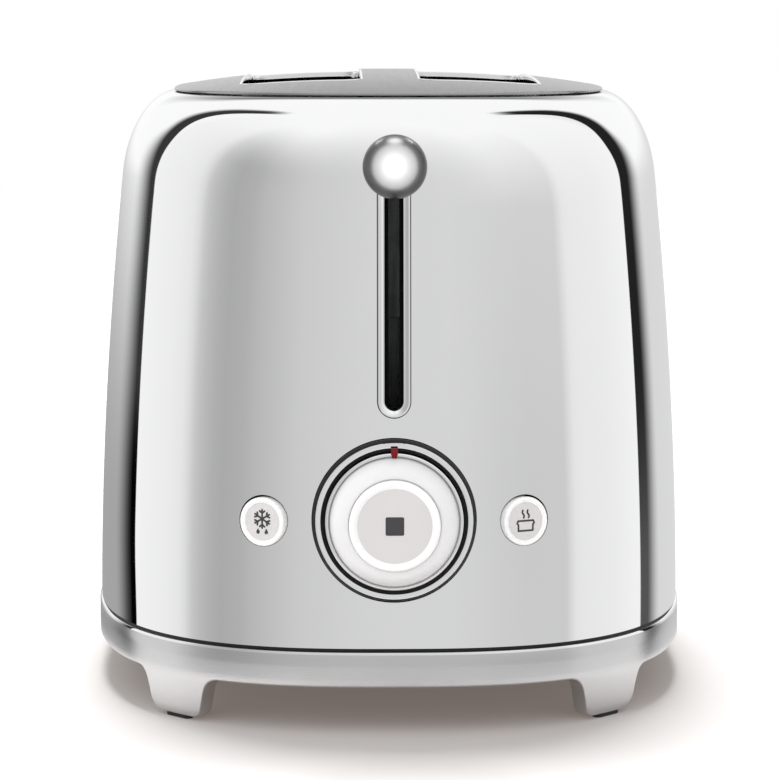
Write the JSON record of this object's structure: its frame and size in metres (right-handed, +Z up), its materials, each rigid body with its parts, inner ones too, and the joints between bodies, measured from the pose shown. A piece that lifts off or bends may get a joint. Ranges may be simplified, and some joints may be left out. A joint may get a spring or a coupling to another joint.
{
  "type": "two-slice toaster",
  "caption": "Free-standing pop-up bread toaster with a polished rounded shell, domed top plate, ball lever, round browning dial, side buttons and a pull-out crumb tray.",
  "frame": {"origin": "centre of the bounding box's bottom face, on the surface that the foot pads stand on", "axes": "+Z up, the front with the lever and the dial faces -Y, the bread slots run along Y"},
  "size_m": [0.195, 0.3102, 0.1993],
  "materials": {
    "polished": "polished",
    "satin": "satin",
    "cast_satin": "satin plated casting",
    "steel": "plain sheet",
    "mica": "matte mineral sheet",
    "heating_ribbon": "oxidised alloy",
    "black_plastic": "matte",
    "grey_plastic": "matte",
    "circuit_board": "lacquered board",
    "white_gloss": "gloss",
    "pad_rubber": "matte",
    "red": "gloss"
  },
  "bodies": {
    "housing": {"outer_shell": "polished", "top_plate": "satin", "base_skirt": "cast_satin", "base_pan": "grey_plastic", "control_carrier": "grey_plastic", "dial_bezel": "polished", "lever_slot_trim": "polished", "slot_shield": "black_plastic", "guide_rod": "steel", "lift_spring": "steel", "holding_magnet": "grey_plastic", "mains_switch": "black_plastic", "control_board": "circuit_board", "browning_control": "black_plastic", "front_frame_plate": "steel", "rear_frame_plate": "steel", "heater_card_left": "mica", "heater_card_middle": "mica", "heater_card_right": "mica", "heating_ribbon_left": "heating_ribbon", "heating_ribbon_middle_left": "heating_ribbon", "heating_ribbon_middle_right": "heating_ribbon", "heating_ribbon_right": "heating_ribbon", "reflector_left": "steel", "reflector_right": "steel", "cord_gland": "black_plastic", "foot_pad_front_left": "pad_rubber", "foot_pad_front_right": "pad_rubber", "foot_pad_rear_left": "pad_rubber", "foot_pad_rear_right": "pad_rubber", "base_screw_front_left": "steel", "base_screw_front_right": "steel", "base_screw_rear_left": "steel", "base_screw_rear_right": "steel"},
    "carriage": {"carriage_bracket": "steel", "bread_rack_left": "steel", "bread_rack_right": "steel", "lever_arm": "black_plastic", "lever_ball": "polished", "latch_armature": "steel"},
    "guard_left_outer": {"bread_guard_left_outer": "steel"},
    "guard_left_inner": {"bread_guard_left_inner": "steel"},
    "guard_right_inner": {"bread_guard_right_inner": "steel"},
    "guard_right_outer": {"bread_guard_right_outer": "steel"},
    "dial": {"browning_dial": "white_gloss", "dial_index": "red"},
    "stop": {"stop_button": "white_gloss"},
    "defrost": {"defrost_button": "white_gloss"},
    "reheat": {"reheat_button": "white_gloss"},
    "tray": {"crumb_tray": "steel"}
  },
  "joints": [
    {"name": "carriage_slide", "type": "slide", "parent": "housing", "child": "carriage", "axis": [0, 0, 1], "range_m": [-0.0696, 0], "stiffness_N_per_m": 80, "springref_m": 0.05, "deforming": ["lift_spring"]},
    {"name": "guard_left_outer_slide", "type": "slide", "parent": "housing", "child": "guard_left_outer", "axis": [1, 0, 0], "range_m": [0, 0.007]},
    {"name": "guard_left_inner_slide", "type": "slide", "parent": "housing", "child": "guard_left_inner", "axis": [1, 0, 0], "range_m": [-0.007, 0]},
    {"name": "guard_right_inner_slide", "type": "slide", "parent": "housing", "child": "guard_right_inner", "axis": [1, 0, 0], "range_m": [0, 0.007]},
    {"name": "guard_right_outer_slide", "type": "slide", "parent": "housing", "child": "guard_right_outer", "axis": [1, 0, 0], "range_m": [-0.007, 0]},
    {"name": "dial_turn", "type": "hinge", "parent": "housing", "child": "dial", "pos_m": [0, -0.12, 0.0653], "axis": [0, 1, 0], "range_deg": [-135, 135]},
    {"name": "stop_press", "type": "slide", "parent": "housing", "child": "stop", "axis": [0, 1, 0], "range_m": [0, 0.002], "stiffness_N_per_m": 400, "springref_m": -0.002},
    {"name": "defrost_press", "type": "slide", "parent": "housing", "child": "defrost", "axis": [0.3746, 0.9272, 0], "range_m": [0, 0.002], "stiffness_N_per_m": 400, "springref_m": -0.002},
    {"name": "reheat_press", "type": "slide", "parent": "housing", "child": "reheat", "axis": [-0.3746, 0.9272, 0], "range_m": [0, 0.002], "stiffness_N_per_m": 400, "springref_m": -0.002},
    {"name": "crumb_tray_slide", "type": "slide", "parent": "housing", "child": "tray", "axis": [0, 1, 0], "range_m": [0, 0.2]}
  ],
  "couplings": [
    {"joint": "guard_left_outer_slide", "follows": "carriage_slide", "ratio": -0.0991},
    {"joint": "guard_left_inner_slide", "follows": "carriage_slide", "ratio": 0.0991},
    {"joint": "guard_right_inner_slide", "follows": "carriage_slide", "ratio": -0.0991},
    {"joint": "guard_right_outer_slide", "follows": "carriage_slide", "ratio": 0.0991}
  ]
}
